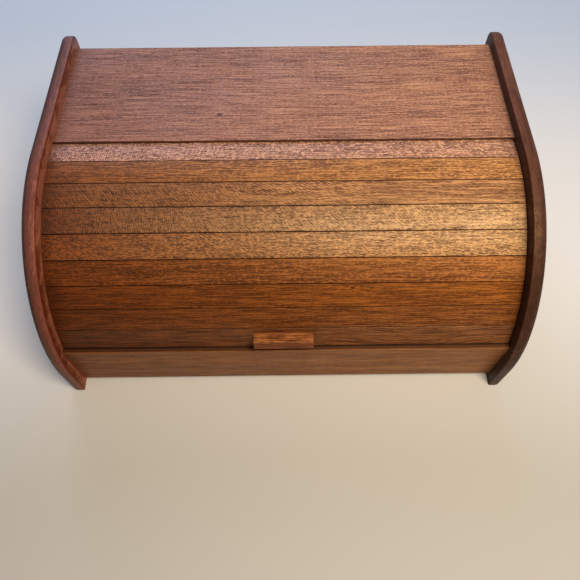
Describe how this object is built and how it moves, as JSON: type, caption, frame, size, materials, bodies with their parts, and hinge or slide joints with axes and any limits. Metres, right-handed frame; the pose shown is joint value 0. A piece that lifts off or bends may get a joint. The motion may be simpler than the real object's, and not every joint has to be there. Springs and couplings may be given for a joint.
{
  "type": "tambour lid box",
  "caption": "Wooden roll-top box with rounded end panels, a slatted tambour lid with a bar pull, a fixed top board and a front rail.",
  "frame": {"origin": "centre of the box's outline at the surface that it stands on", "axes": "+X along the box, with the front at -Y and up at +Z"},
  "size_m": [0.4, 0.278, 0.171],
  "materials": {
    "panel_teak": "oiled teak, aged, rounded edges",
    "board_teak": "oiled teak, satin, lengthwise grain",
    "rail_teak": "oiled teak, dull",
    "slat_teak_light": "oiled teak, satin, short figure",
    "slat_teak_mid": "oiled teak, satin, rippled figure",
    "slat_teak_dark": "oiled teak, satin, straight grain",
    "lead_teak": "oiled teak, dull",
    "pull_teak": "oiled teak, worn smooth",
    "inner_teak": "teak, unfinished inside",
    "dowel_beech": "plain beech",
    "canvas": "plain cotton canvas",
    "screw_brass": "dulled brass",
    "brad_steel": "plain steel"
  },
  "bodies": {
    "case": {"side_left": "panel_teak", "side_right": "panel_teak", "top_board": "board_teak", "back_board": "inner_teak", "bottom_board": "inner_teak", "front_rail": "rail_teak", "rail_dowels": "dowel_beech", "board_dowels": "dowel_beech", "back_brads": "brad_steel"},
    "tambour": {"tail_slat": "slat_teak_mid", "slat_1": "slat_teak_light", "slat_2": "slat_teak_mid", "slat_3": "slat_teak_mid", "slat_4": "slat_teak_mid", "slat_5": "slat_teak_dark", "slat_6": "slat_teak_dark", "slat_7": "slat_teak_dark", "slat_8": "slat_teak_dark", "lead_slat": "lead_teak", "canvas_backing": "canvas", "pull": "pull_teak", "pull_screws": "screw_brass"}
  },
  "joints": [
    {"name": "tambour_roll", "type": "hinge", "parent": "case", "child": "tambour", "pos_m": [0, -0.002, 0.034], "axis": [-1, 0, 0], "range_deg": [0, 60]}
  ]
}
